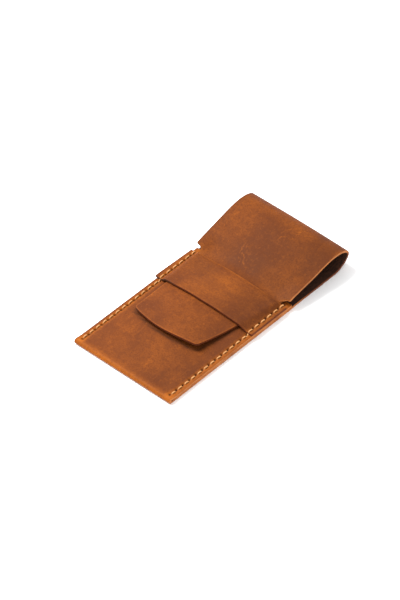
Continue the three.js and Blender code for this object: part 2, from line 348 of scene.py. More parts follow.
def outline(corners, closed=False):
    """A cut edge through corners (x, s, radius), with its corners rounded, the hide on its left."""
    points = [np.array(c[:2], float) for c in corners]
    count = len(points)
    out = []
    for i, (corner, p) in enumerate(zip(corners, points)):
        radius = corner[2]
        if radius == 0 or (not closed and i in (0, count - 1)):
            out.append(p)
            continue
        a, b = points[i - 1] - p, points[(i + 1) % count] - p
        a, b = a / np.linalg.norm(a), b / np.linalg.norm(b)
        half_angle = math.acos(np.clip(a @ b, -1, 1)) / 2
        reach = radius / math.tan(half_angle)
        centre = p + (a + b) / np.linalg.norm(a + b) * radius / math.sin(half_angle)
        start, end = p + a * reach - centre, p + b * reach - centre
        sweep = math.pi - 2 * half_angle
        steps = max(4, int(radius * sweep / ARC_STEP))
        for k in range(steps + 1):
            t = k / steps * sweep
            out.append(centre + (math.sin(sweep - t) * start + math.sin(t) * end) / math.sin(sweep))
    if closed:
        out.append(out[0])
    line = [out[0]]
    for a, b in zip(out, out[1:]):
        spacing = BENT if abs(a[1] + b[1]) < FOLD_REACH and abs(a[1]) <= FOLD_REACH else STRAIGHT
        pieces = max(1, int(round(np.linalg.norm(b - a) / spacing)))
        line += [a + (b - a) * (k + 1) / pieces for k in range(pieces)]
    return np.array(line)


def inward(line, closed, distance):
    """A cut edge moved into the hide. Its open ends slide along the joint lines across the strip."""
    ways = unit(np.diff(line, axis=0))
    normals = np.stack([-ways[:, 1], ways[:, 0]], axis=1)
    before = np.vstack([normals[-1:] if closed else normals[:1], normals])
    after = np.vstack([normals, normals[:1] if closed else normals[-1:]])
    move = (before + after) / (1 + np.sum(before * after, axis=1))[:, None]
    if not closed:
        move[0] = (1 / after[0][0], 0)
        move[-1] = (1 / before[-1][0], 0)
    return line + distance * move


def distance_to(points, line):
    """Least distance from each point to a line of short straight pieces, huge where none is near."""
    best = np.full(len(points), 1e9)
    for a, b in zip(line, line[1:]):
        way = b - a
        near = (np.abs(points - (a + b) / 2).max(axis=1)) < NEAR + np.abs(way).max()
        p = points[near]
        t = np.clip(((p - a) @ way) / (way @ way), 0, 1)
        best[near] = np.minimum(best[near], np.linalg.norm(p - a - t[:, None] * way, axis=1))
    return best


def inside(points, loop):
    """Which points lie inside a closed line."""
    x, y = points[:, 0], points[:, 1]
    hit = np.zeros(len(points), bool)
    for (xa, ya), (xb, yb) in zip(loop, loop[1:]):
        if ya != yb:
            hit ^= ((ya > y) != (yb > y)) & (x < (xb - xa) * (y - ya) / (yb - ya) + xa)
    return hit


def grid(xs, ss):
    """Points at every crossing of the lines x and s."""
    a, b = np.meshgrid(xs, ss)
    return np.stack([a.ravel(), b.ravel()], axis=1)


def flat_net(cuts, closed, joints, inner):
    """Vertices and triangles of the flat piece inside its cut edges and joint lines."""
    points, edges = [], []

    def chain(line):
        first = sum(map(len, points))
        points.append(line)
        edges.extend((first + k, first + k + 1) for k in range(len(line) - 1))

    for line in cuts:
        chain(line)
        for inset in INSETS:
            chain(inward(line, closed, inset))
    for half, s in joints:
        left = [-half, *(-half + inset for inset in INSETS)]
        right = [-x for x in reversed(left)]
        middle = np.linspace(-half + JOINT_MARGIN, half - JOINT_MARGIN, JOINT_POINTS)
        chain(grid([*left, *middle, *right], [s]))
    border = np.vstack(cuts)
    loop = border if closed else np.vstack([border, border[:1]])
    keep = inside(inner, loop)
    for line in cuts:
        keep &= distance_to(inner, line) > INSETS[-1] + EDGE_GAP
    for _, s in joints:
        keep &= np.abs(inner[:, 1] - s) > JOINT_GAP
    points.append(inner[keep])
    flat = np.vstack(points)
    verts, _, faces, *_ = delaunay_2d_cdt([Vector(p) for p in flat], edges, [], 0, NET_MERGE)
    verts = np.array([tuple(v) for v in verts])
    faces = np.array([f for f in faces if len(f) == 3])
    faces = faces[inside(verts[faces].mean(axis=1), loop)]
    a, b, c = (verts[faces[:, k]] for k in range(3))
    area = (b[:, 0] - a[:, 0]) * (c[:, 1] - a[:, 1]) - (b[:, 1] - a[:, 1]) * (c[:, 0] - a[:, 0])
    faces[area < 0] = faces[area < 0][:, ::-1]
    faces = faces[np.abs(area) > SLIVER]
    used, renumbered = np.unique(faces, return_inverse=True)
    return verts[used], renumbered.reshape(-1, 3)


def surface_normals(centre, flat):
    """Normals on the strip's grain side, from the centre surface a little way along and across."""
    step = 0.12
    x, s = flat[:, 0], flat[:, 1]
    across = centre(x + step, s) - centre(x - step, s)
    along = centre(x, s + step) - centre(x, s - step)
    return unit(np.cross(along, across))


def new_object(name, data):
    """An object with this data, in the scene."""
    made = bpy.data.objects.new(name, data)
    bpy.context.collection.objects.link(made)
    return made


def smooth_mesh(name, points, faces):
    """A smooth-shaded mesh in the frame's metres, from points (x, up, z)."""
    points[:, 1] += BASE_Y
    mesh = bpy.data.meshes.new(name)
    mesh.from_pydata((points * MM).tolist(), [], faces)
    mesh.shade_smooth()
    return mesh


def hide_sheet(name, cuts, joints, inner, centre, marks, dent=None, grain_sign=1, closed=False):
    """A piece of hide as a closed mesh: grain side, flesh side and rounded cut edges."""
    flat, faces = flat_net(cuts, closed, joints, inner)
    from_edge = np.min([distance_to(flat, line) for line in cuts], axis=0)
    near = np.minimum(from_edge, EDGE_R)
    thick = HALF - EDGE_R + np.sqrt(np.maximum(0, 2 * EDGE_R * near - near**2))
    middle = centre(flat[:, 0], flat[:, 1])
    normal = surface_normals(centre, flat) * grain_sign
    pressed = dent(flat, middle) if dent else np.zeros(len(flat))
    grain = middle + normal * (thick - pressed)[:, None]
    flesh = middle - normal * thick[:, None]
    count = len(flat)
    top, bottom = faces[:, ::-grain_sign], faces[:, ::grain_sign] + count
    pairs = np.vstack([top[:, [0, 1]], top[:, [1, 2]], top[:, [2, 0]]])
    sides = {tuple(p) for p in pairs.tolist()}
    walls = [(b, a, a + count, b + count) for a, b in sides if (b, a) not in sides]
    mesh = smooth_mesh(name, np.vstack([grain, flesh]), [*top.tolist(), *bottom.tolist(), *walls])
    trimmed = (from_edge[faces] < CUT_BAND).all(axis=1)
    slots = [*np.where(trimmed, CUT, GRAIN), *np.where(trimmed, CUT, FLESH), *[CUT] * len(walls)]
    mesh.polygons.foreach_set("material_index", slots)
    mesh.set_sharp_from_angle(angle=SHARP)
    flat_map = mesh.uv_layers.new(name="HideFlat")
    corner = np.zeros(len(mesh.loops), int)
    mesh.loops.foreach_get("vertex_index", corner)
    flat_map.data.foreach_set("uv", (flat[corner % count] * MM * FLAT_PER_METRE).ravel())
    for mark, value in marks(flat, middle, from_edge).items():
        layer = mesh.attributes.new(mark, "FLOAT", "POINT")
        layer.data.foreach_set("value", np.tile(value, 2).astype(np.float32))
    mesh.update()
    return new_object(name, mesh)


# ---------- where the seams press the hide ----------
HOLES = FIRST_HOLE + STITCH * np.arange(STITCHES + 1)
FRONT_GROOVE, FRONT_PIT = 0.2, 0.85  # depth of a seam's groove, and of its pits at the holes
BACK_GROOVE, BACK_PIT = 0.62, 0.4
GROOVE_WIDTH = 0.85
GROOVE_END = 1.2  # the groove dies out this far past its last holes
SLIT_LENGTH, SLIT_WIDTH, SLIT_LEAN = 1.25, 0.7, 0.45  # of the holes
SLIT_SHIFT = 0.3  # they lie this far inside the seam
BAND_CLEAR = 0.3  # hide this near the band keeps its face
FOLD_CLEAR = 2.5  # and so does the bottom fold
SKIVED, SKIVE_REACH = 0.75, 3.4  # thinning of the band's far edge, and how far in


def hole_distance(x, up):
    """How far a point is from the nearest hole, along the seam and across it."""
    nearest = HOLES[np.argmin(np.abs(up[:, None] - HOLES[None, :]), axis=1)]
    return up - nearest, np.abs(x) - SEAM_X


def hole_shade(along, across):
    """1 at a hole's middle, falling off round it. Each hole is a slit that leans inwards going up."""
    across = across + SLIT_SHIFT
    length, width = along - SLIT_LEAN * across, across + SLIT_LEAN * along
    return np.exp(-((length / SLIT_LENGTH) ** 2) - (width / SLIT_WIDTH) ** 2)


def seam_dent(x, up, groove, pit):
    """How deep the stitches press in: a soft groove along the seam, and a pit at each hole."""
    along, across = hole_distance(x, up)
    on_seam = smooth(HOLES[0] - GROOVE_END, HOLES[0], up) * smooth(HOLES[-1] + GROOVE_END, HOLES[-1], up)
    valley = groove * hump(across, 0, GROOVE_WIDTH) * on_seam
    return valley + pit * hole_shade(along, across) * (on_seam > 0.5)


def strip_dent(flat, middle):
    """The seams' dents on the open parts of the front panel and on the back."""
    x, s = flat.T
    up = middle[:, 1]
    past_band = (up < BAND_START - BAND_CLEAR) | (up > BAND_END + BAND_CLEAR)
    open_front = (s < 0) & past_band & (up > FOLD_CLEAR)
    back = (s > 0) & (s < NOSE_S) & (up < MOUTH)
    front_dent = seam_dent(x, up, FRONT_GROOVE, FRONT_PIT)
    back_dent = seam_dent(x, up, BACK_GROOVE, BACK_PIT)
    return np.where(open_front, front_dent, np.where(back, back_dent, 0))


def band_dent(flat, middle):
    """The seams' dents, and the band's thinned far edge, over which the flap comes down."""
    x, up = flat.T
    from_far_edge = smooth(0, SKIVE_REACH, BAND_END - up)
    thinned = SKIVED * (1 - from_far_edge) * smooth(SEAM_X - 1, SEAM_X - 4, np.abs(x))
    return seam_dent(x, up, FRONT_GROOVE, FRONT_PIT) + thinned


# ---------- marks that the finish reads ----------
# "pull" is where waxed hide is stretched and pale, and partly painted highlight on the bottom fold's
# underside, the band's far edge and the cut edges' rims. The dark mark is painted shade: in the stitch
# holes, under the tongue tip's edge and along the flap's left rim. "deep" is painted shade, darkening the
# hide towards the right, over the flap and at a spot on the band. "wrinkles" is where it is creased in
# nested arcs, "arcs" being the distance to their centre. A mark left out is 0. A spot is a pair: its
# middle, and how far it spreads.
MARGIN_SPOT = (0.4, 2.7)  # pale margins, from the seams
FOLD_SPOT = (0.6, 6.2)  # pale bottom fold, along the hide
RIDGE_SPOT = (UPPER_S + 3, 7.0)  # the top of the roll
ROOT_SPOT = (BAND_END + 3, 5.0)  # where the tongue comes out from under the band
PATCH_X, PATCH_UP = (-2, 24), (BAND_END - 15, 16)  # the lighter middle of the band
SHADED_X, SHADED_UP = (-22, 10), (BAND_END - 8, 9)  # a spot of painted shade at its far left
WORN_EDGE, DARK_RIM, FAR_EDGE = 0.9, 0.8, 1.3  # reach in from a cut edge of the rims' wear and painted highlight, of the left rim's painted shade, and of the far edge's painted highlight
TIP_SHADOW_SHIFT, TIP_SHADOW_WIDTH = (0.5, -0.6), 1.05  # of the painted shadow line, from the tip's edge
CREASE_SPLIT = 138  # height between the two nests of creases
LOW_CENTRE, LOW_SPOT = (3, 130), (14.5, 3.2)  # a nest's centre, and where its arcs are
HIGH_CENTRE, HIGH_SPOT = (22, 142), (18, 4.5)


def seam_glow(x, up):
    """The lighter margins along the seams, weaker at the very left."""
    glow = hump(np.abs(x) - SEAM_X, *MARGIN_SPOT) * smooth(0, 3, up)
    return glow * (1 - 0.55 * smooth(-SEAM_X + 0.3, -CASE_HALF + 0.4, x))


def edge_wear_and_highlight(x, from_edge):
    """Lighter rims along the cut edges, partly rubbed wear and partly painted highlight; less so at the
    left.
    """
    return np.exp(-from_edge / WORN_EDGE) * (1 - 0.9 * smooth(-30, -CASE_HALF, x))


def left_rim_shade(x, from_edge):
    """Painted shade along the rim of the flap's left side."""
    return 0.3 * np.exp(-from_edge / DARK_RIM) * smooth(-CASE_HALF + 4, -CASE_HALF + 2, x)


def painted_tip_shadow(x, up):
    """The painted shadow of the tongue tip's lifted edge: a dark line on the front panel just outside it.
    """
    edge_x, edge_s = tip_outline().T
    edge_up = on_path(edge_s)[0]
    edge = np.stack([edge_x + drift(edge_up), edge_up], axis=1)
    return hump(distance_to(np.stack([x, up], axis=1), edge + np.array(TIP_SHADOW_SHIFT)), 0, TIP_SHADOW_WIDTH)


def nested_creases(x, up):
    """How creased the flap is, in two nests of arcs, and the distance to the nest's centre."""
    low = np.hypot(x - LOW_CENTRE[0], up - LOW_CENTRE[1])
    high = np.hypot(x - HIGH_CENTRE[0], up - HIGH_CENTRE[1])
    low_wrinkles = hump(low, *LOW_SPOT) * smooth(10, -4, x) * smooth(136, 124, up)
    high_wrinkles = hump(high, *HIGH_SPOT) * smooth(24, 10, x) * smooth(138, 148, up)
    return low_wrinkles + high_wrinkles, np.where(up < CREASE_SPLIT, low, high)


def strip_marks(flat, middle, from_edge):
    x, s = flat.T
    up = middle[:, 1]
    upper = s > NOSE_S
    on_pocket = (up < MOUTH) & (s < NOSE_S)
    seam = np.where(on_pocket, seam_glow(x, up), 0)
    at_fold = hump(s, *FOLD_SPOT)
    # the fold is paler where stretched; the extra paleness on its lower half, where it turns under, is
    # painted light
    fold = at_fold * (0.68 + 0.32 * smooth(-2.5, 0, s)) * smooth(-62, -14, x)
    ridge, root = hump(s, *RIDGE_SPOT), hump(up, *ROOT_SPOT) * upper
    # rims: wear and painted highlight, stronger on the tongue's tip
    edge = np.where(s > TIP_HINGE_S, 0.8, 0.4) * edge_wear_and_highlight(x, from_edge)
    pull = np.clip(0.85 * seam + 0.85 * fold + 0.35 * ridge + 0.25 * root + edge, 0, 1)
    past_band = (s > 0) | (up < BAND_START) | (up > BAND_END)
    # painted shade: the stitch holes are drawn dark, as shade falls into them
    soil = np.where(on_pocket & past_band, hole_shade(*hole_distance(x, up)), 0)
    if (s < 0).any():
        # painted shadow under the tongue tip's edge
        soil = np.maximum(soil, 0.75 * painted_tip_shadow(x, up) * (s < 0))
    # painted shade along the flap's left rim
    soil = np.maximum(soil, left_rim_shade(x, from_edge) * upper)
    wrinkles, arcs = nested_creases(x, up)
    flap = smooth(NOSE_S + 3, NOSE_S + 14, s) * smooth(FRONT_S + 30, FRONT_S, s)
    # painted shade: darker towards the right and over the flap, less so on the bottom fold
    deep = 0.56 * smooth(-30, 45, x) * (1 - 0.3 * flap) * (1 - 0.75 * at_fold) + 0.34 * flap
    return {"pull": pull, "soil": soil, "wrinkles": wrinkles * upper, "arcs": arcs, "deep": deep}


def band_marks(flat, middle, from_edge):
    x, up = flat.T
    patch = hump(x, *PATCH_X) * hump(up, *PATCH_UP)
    # lighter rims from wear and painted highlight, and a painted highlight line along the far edge
    worn = 0.3 * edge_wear_and_highlight(x, from_edge) + 0.18 * hump(up, BAND_END, FAR_EDGE)
    pull = np.clip(0.75 * seam_glow(x, up) + 0.42 * patch + worn, 0, 1)
    # painted shade: darker towards the band's right end, and at a spot on its far left
    deep = 0.72 * smooth(-5, 34, x) + 0.4 * hump(x, *SHADED_X) * hump(up, *SHADED_UP)
    # the band's stitch holes are drawn dark as painted shade
    return {"pull": pull, "soil": hole_shade(*hole_distance(x, up)), "deep": deep}


# ---------- the pieces of hide ----------
GRID_HALF, BEND_GRID_HALF, TIP_GRID_HALF = 38.4, 38.2, 30.0  # reach of inner points from the middle
SEAM_CLEAR = 1.9  # plain rows keep this far from the seams
SEAM_OFFSETS = (0, 0.25, 0.55, 0.95, 1.5)  # close-set points to each side of a seam
HOLE_OFFSETS = (0, 0.2, 0.4, 0.7, 1.4)  # and before and after each hole
FOLD_HALF = 2.2  # the bottom fold's own rows lie within this


def both_ways(offsets):
    return np.array([-o for o in reversed(offsets[1:])] + list(offsets))


def tongue_side(s):
    return float(tongue_half(on_path(s)[0]))


def seam_points(s_of_up):
    """Close-set points along both seams, so that groove and pits show in the mesh."""
    near_holes = (HOLES[:, None] + both_ways(HOLE_OFFSETS)[None, :]).ravel()
    ups = np.concatenate([near_holes, HOLES[:-1] + STITCH / 2])
    s = np.array([s_of_up(up) for up in np.sort(ups)])
    return np.vstack([grid(side * (SEAM_X + both_ways(SEAM_OFFSETS)), s) for side in (-1, 1)])


def away_from_seams(points):
    return points[np.abs(np.abs(points[:, 0]) - SEAM_X) > SEAM_CLEAR]


def pouch_piece():
    low, high = MOUTH_S, JOINTS[0]
    front = [(CASE_HALF, low, MOUTH_CORNER_R), (CASE_HALF, -FOLD_REACH, 0)]
    back = [(CASE_HALF, FOLD_REACH, 0), (CASE_HALF, BACK_MOUTH_S, 0)]
    right = [*front, *back, (FLAP_HALF, BACK_MOUTH_S + MOUTH_STEP, 0), (FLAP_HALF, high, 0)]
    cut = outline([*mirrored(right), *right])
    xs = np.linspace(-GRID_HALF, GRID_HALF, 49)
    near_fold = np.arange(FOLD_HALF + 0.3, 5.7, 0.35)
    front_rows, back_rows = np.arange(low + 1, -6, 1.7), np.arange(6.5, high, 1.9)
    inner = np.vstack([
        away_from_seams(grid(xs, np.concatenate([front_rows, -near_fold[::-1], near_fold, back_rows]))),
        grid(xs, np.linspace(-FOLD_HALF, FOLD_HALF, 19)),
        seam_points(lambda up: s_at(up, "front")),
        seam_points(lambda up: s_at(up, "back")),
    ])
    ends = [(FLAP_HALF, high)]
    piece = hide_sheet("hide_pouch", [cut], ends, inner, strip_centre, strip_marks, dent=strip_dent)
    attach(piece, "pouch")
    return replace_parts(piece, "pocket_back", "pocket_bottom_fold", "pocket_front", "flap_root")


def bend_piece(name, low, high, nodes):
    """A short stretch of the strip that bends from one body to the next."""
    right = [(FLAP_HALF, low, 0), (FLAP_HALF, high, 0)]
    cuts = [outline(mirrored(right)), outline(right)]
    inner = grid(np.linspace(-BEND_GRID_HALF, BEND_GRID_HALF, 57), np.arange(low + 0.5, high - 0.3, 0.55))
    ends = [(FLAP_HALF, low), (FLAP_HALF, high)]
    piece = hide_sheet(name, cuts, ends, inner, strip_centre, strip_marks)
    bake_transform(piece)
    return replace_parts(piece, *nodes)


def flap_piece():
    low, high = JOINTS[3], JOINTS[4]
    root = tongue_side(FRONT_S)

    def side(corner_s):
        """The right cut edge, its square corner this far along the hide."""
        root_s = FRONT_S + (corner_s - FRONT_S) * root / FLAP_HALF
        corners = [(FLAP_HALF, corner_s, FLAP_CORNER_R), (root, root_s, FILLET)]
        return [(FLAP_HALF, low, 0), *corners, (tongue_side(high), high, 0)]

    cuts = [outline(mirrored(side(FRONT_S - OUT_OF_SQUARE))), outline(side(FRONT_S + OUT_OF_SQUARE))]
    rows = [np.arange(low + 0.9, FRONT_S - 9, 1.3), np.arange(FRONT_S - 8.6, high, 0.8)]
    inner = grid(np.linspace(-GRID_HALF, GRID_HALF, 57), np.concatenate(rows))
    ends = [(FLAP_HALF, low), (tongue_side(high), high)]
    piece = hide_sheet("hide_flap", cuts, ends, inner, strip_centre, strip_marks)
    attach(piece, "flap")
    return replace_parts(piece, "flap_cover", "tongue")


def tip_outline():
    """The cut edge of the tongue's free end, down its right side, round the tip and up its left side."""
    low = JOINTS[4]
    side = tongue_side(low)
    radius = (TIP_X**2 + TIP_SAG**2) / (2 * TIP_SAG)
    arc = []
    for x in TIP_X * np.linspace(1, -1, 25)[1:-1]:
        skew = TIP_SKEW * max(0, -x / TIP_X) ** 2
        arc.append((x, TIP_S + TIP_SAG - skew - radius + math.sqrt(radius**2 - x**2), 0))
    right_corner = (TIP_X, TIP_S, TIP_CORNER_R)
    left_corner = (-TIP_X - TIP_OUTSET, TIP_S - TIP_SKEW, TIP_CORNER_R)
    return outline([(side, low, 0), right_corner, *arc, left_corner, (-side, low, 0)])


def tip_piece():
    low = JOINTS[4]
    xs = np.linspace(-TIP_GRID_HALF, TIP_GRID_HALF, 49)
    inner = grid(xs, np.arange(low + 0.8, TIP_S + TIP_SAG, 1.1))
    ends = [(tongue_side(low), low)]
    piece = hide_sheet("hide_tongue_tip", [tip_outline()], ends, inner, strip_centre, strip_marks)
    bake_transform(piece)
    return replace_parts(piece, "tongue_tip")


def band_piece():
    low, high = BAND_START, BAND_END
    far_left, near_left = (-CASE_HALF - past for past in BAND_PAST_LEFT)
    corners = [(CASE_HALF, low), (CASE_HALF, high), (far_left, high), (near_left, low)]
    cut = outline([(x, up, BAND_CORNER_R) for x, up in corners], closed=True)
    rows = grid(np.linspace(-GRID_HALF, GRID_HALF, 65), np.arange(low + 1.2, high, 1.2))
    inner = np.vstack([away_from_seams(rows), seam_points(lambda up: up)])
    piece = hide_sheet(
        "hide_band", [cut], [], inner, band_centre, band_marks, dent=band_dent, grain_sign=-1, closed=True
    )
    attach(piece, "pouch")
    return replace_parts(piece, "keeper_band")


# ---------- stitches ----------
STRANDS = 3
STRAND_R = 0.27
TWIST_R = 0.19  # from the thread's middle to each strand's
TWIST_TURN = 3.4  # length of one turn of the twist
THREAD_REST = 0.36  # height of the thread's middle over the hide's face
STITCH_SHIFT = 0.2  # stitches lie this far outside the seam
STITCH_SLANT = 0.1
HOLE_SINK = 1.9  # the front's thread goes this far down its holes
DIP_REACH = (0.85, 1.95)  # the thread comes up between these distances from a hole
BACK_THREAD_Z = 0.56  # the back's thread lies in its groove, clear of the table
BACK_SINK = 0.8
BAND_RAMP = (0.7, 0.2)  # the seams' face rises from outside the band's edges to inside them
CLIMB_REACH, CLIMB_SLOPE, CLIMB_DROP = 2.2, 0.75, 0.05  # a stitch's way up to the band's edge
SIDES = 9  # of a strand
SEED = 7
WANDER = 0.03  # how far a stitch strays from its line


def seam_face(up):
    """Height of the uppermost hide along the seams: the band's face, or the front panel's."""
    outside, within = BAND_RAMP
    risen = smooth(BAND_START - outside, BAND_START + within, up)
    not_past = smooth(BAND_END + outside, BAND_END - within, up)
    return 2 * PITCH - HAIRLINE / 2 + PITCH * (risen * not_past)


def climb(up):
    """A stitch that climbs over one of the band's edges runs straight from the hide to the edge."""
    height = np.zeros_like(up)
    for edge, away in ((BAND_START, -1), (BAND_END, 1)):
        run = (up - edge) * away
        straight = 3 * PITCH - CLIMB_DROP - run * CLIMB_SLOPE
        height = np.where((run > 0) & (run < CLIMB_REACH), np.maximum(height, straight), height)
    return height


def stitch_line(side, i, on_front):
    """The middle line of one stitch: out of one hole, along the hide, and down the next."""
    t = np.linspace(0, 1, 34)
    up = HOLES[i] + STITCH * t
    dip = 1 - smooth(*DIP_REACH, np.minimum(t, 1 - t) * STITCH)
    if on_front:
        z = np.maximum(seam_face(up), climb(up)) + THREAD_REST - HOLE_SINK * dip
    else:
        z = BACK_THREAD_Z + BACK_SINK * dip
    lean = STITCH_SLANT * (2 * t - 1) * (1 if on_front else -1)
    return np.stack([side * (SEAM_X + STITCH_SHIFT + lean), up, z], axis=1)


def square_to(line):
    """Two directions square to a line and to each other, at each of its points."""
    way = unit(np.gradient(line, axis=0))
    side = unit(np.cross(way, [1.0, 0, 0]))
    return side, np.cross(way, side)


def strand_line(line, phase):
    """One strand of the thread, winding round its middle line."""
    side, other = square_to(line)
    angle = phase + run_along(line) / TWIST_TURN * 2 * math.pi
    return line + TWIST_R * (np.cos(angle)[:, None] * side + np.sin(angle)[:, None] * other)


def tube(line, radius):
    """Points and faces of a closed tube round a line."""
    side, other = square_to(line)
    turn = np.arange(SIDES) * 2 * math.pi / SIDES
    ring = np.cos(turn)[None, :, None] * side[:, None] + np.sin(turn)[None, :, None] * other[:, None]
    points = (line[:, None] + radius * ring).reshape(-1, 3)
    faces = []
    for r in range(len(line) - 1):
        for c in range(SIDES):
            a, b = r * SIDES + c, r * SIDES + (c + 1) % SIDES
            faces.append((a, a + SIDES, b + SIDES, b))
    last = (len(line) - 1) * SIDES
    caps = [tuple(range(SIDES)), tuple(last + c for c in reversed(range(SIDES)))]
    return points, faces + caps


def seam_piece(name, side, node):
    """One seam's saddle stitching, on the front and on the back."""
    rng = np.random.default_rng(SEED + side)
    points, faces = [], []
    for i in range(STITCHES):
        for on_front in (True, False):
            phase = rng.uniform(0, 2 * math.pi)
            line = stitch_line(side, i, on_front)
            line[:, 0] += rng.normal(0, WANDER)
            for k in range(STRANDS):
                strand = strand_line(line, phase + k * 2 * math.pi / STRANDS)
                strand_points, strand_faces = tube(strand, STRAND_R)
                base = sum(map(len, points))
                points.append(strand_points)
                faces += [tuple(base + v for v in face) for face in strand_faces]
    mesh = smooth_mesh(name, np.vstack(points), faces)
    mesh.update()
    piece = new_object(name, mesh)
    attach(piece, "pouch")
    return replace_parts(piece, node)


# ---------- materials ----------
STUDIO_GAIN = 1.6  # how much brighter than white the lights make white paper
CREASE_SPACING = 2.9  # between the creases of rolled hide
CREASE_WANDER = 22.0  # how far noise shifts them along their wave


def colour(*screen):
    """A screen colour, 0 to 255, as the linear base colour that shows it under the studio's lights."""
    shares = [v / 255 for v in screen]
    linear = [v / 12.92 if v <= 0.04045 else ((v + 0.055) / 1.055) ** 2.4 for v in shares]
    return (*(v / STUDIO_GAIN for v in linear), 1.0)


# colour of the painted shade in the holes, under the tongue tip and along the flap's left rim
PAINTED_SHADE_TONE = colour(34, 15, 8)
SHADE_MULTIPLIER = (0.62, 0.62, 0.68, 1.0)  # multiplies the hide's colour where it is darkened as painted shade
WARM_GLOSS = (1.0, 0.72, 0.5, 1.0)
LEFT_EDGE_SHADE = colour(98, 62, 42)  # painted shade: cut edges are darker and duller at the left
LEFT_REACH = (-20 * MM, -34 * MM)
NOSE_EDGE = colour(100, 46, 27)  # the edge of the lower run and the nose
NOSE_REACH, NOSE_RISE = (30 * MM, 50 * MM), (13.5 * MM, 8.5 * MM)


class Nodes:
    """A material's node tree, with short ways to add to it."""

    def __init__(self, name):
        self.material = bpy.data.materials.new(name)
        self.material.use_nodes = True
        self.tree = self.material.node_tree
        self.shader = self.tree.nodes["Principled BSDF"]

    def add(self, kind, **settings):
        node = self.tree.nodes.new(kind)
        for key, value in settings.items():
            setattr(node, key, value)
        return node

    def put(self, socket, value):
        """A constant on a socket, or a link from another socket."""
        if isinstance(value, bpy.types.NodeSocket):
            self.tree.links.new(value, socket)
        else:
            socket.default_value = value

    def put_all(self, sockets, values):
        for name, value in values.items():
            self.put(sockets[name], value)

    def math(self, operation, a, b=0.0, clamp=False):
        node = self.add("ShaderNodeMath", operation=operation, use_clamp=clamp)
        self.put_all(node.inputs, {0: a, 1: b})
        return node.outputs[0]

    def times(self, a, b):
        return self.math("MULTIPLY", a, b)

    def ramp(self, value, low, high, to_low=0.0, to_high=1.0):
        """A soft rise while the value goes from low to high."""
        node = self.add("ShaderNodeMapRange", interpolation_type="SMOOTHSTEP")
        self.put_all(node.inputs, dict(enumerate((value, low, high, to_low, to_high))))
        return node.outputs[0]

    def mix(self, share, a, b, blend="MIX"):
        node = self.add("ShaderNodeMix", data_type="RGBA", blend_type=blend)
        self.put_all(node.inputs, {0: share, 6: a, 7: b})
        return node.outputs[2]

    def tint(self, tone, over, mask, share, where=None):
        """The tone with another colour over it, which has this share where the mask is 1."""
        share = self.times(mask, share)
        if where is not None:
            share = self.times(share, where)
        return self.mix(share, tone, over)

    def noise(self, place, scale, detail=3.0, roughness=0.55, distortion=0.0):
        node = self.add("ShaderNodeTexNoise")
        settings = {"Scale": scale, "Detail": detail, "Roughness": roughness, "Distortion": distortion}
        self.put_all(node.inputs, {"Vector": place, **settings})
        return node.outputs["Fac"]

    def stretched(self, place, scale, turn=0.0):
        """Texture coordinates stretched and turned."""
        node = self.add("ShaderNodeMapping")
        self.put_all(node.inputs, {"Vector": place, "Scale": scale, "Rotation": (0, 0, turn)})
        return node.outputs["Vector"]

    def attribute(self, name):
        return self.add("ShaderNodeAttribute", attribute_name=name).outputs["Fac"]

    def flat_map(self):
        """Places on the hide before it was folded."""
        return self.add("ShaderNodeUVMap", uv_map="HideFlat").outputs["UV"]

    def in_object(self):
        return self.add("ShaderNodeTexCoord").outputs["Object"]

    def bump(self, height, distance, strength):
        node = self.add("ShaderNodeBump")
        self.put_all(node.inputs, {"Strength": strength, "Distance": distance, "Height": height})
        return node

    def finish(self, tone, roughness, bump, specular=0.5):
        """The material, with these on its shader."""
        look = {"Base Color": tone, "Roughness": roughness, "Normal": bump.outputs["Normal"]}
        self.put_all(self.shader.inputs, {**look, "Specular IOR Level": specular})
        return self.material


def creases(n, place):
    """Fine nested arcs, as in hide that has been rolled: 1 along each crease."""
    turn = n.times(n.attribute("arcs"), 2 * math.pi / CREASE_SPACING)
    turn = n.math("ADD", turn, n.times(n.noise(place, 16.0, 4.0, 0.6), CREASE_WANDER))
    crease = n.times(n.ramp(n.math("SINE", turn), 0.55, 1.0), n.attribute("wrinkles"))
    return n.times(crease, n.ramp(n.noise(place, 22.0), 0.44, 0.56))


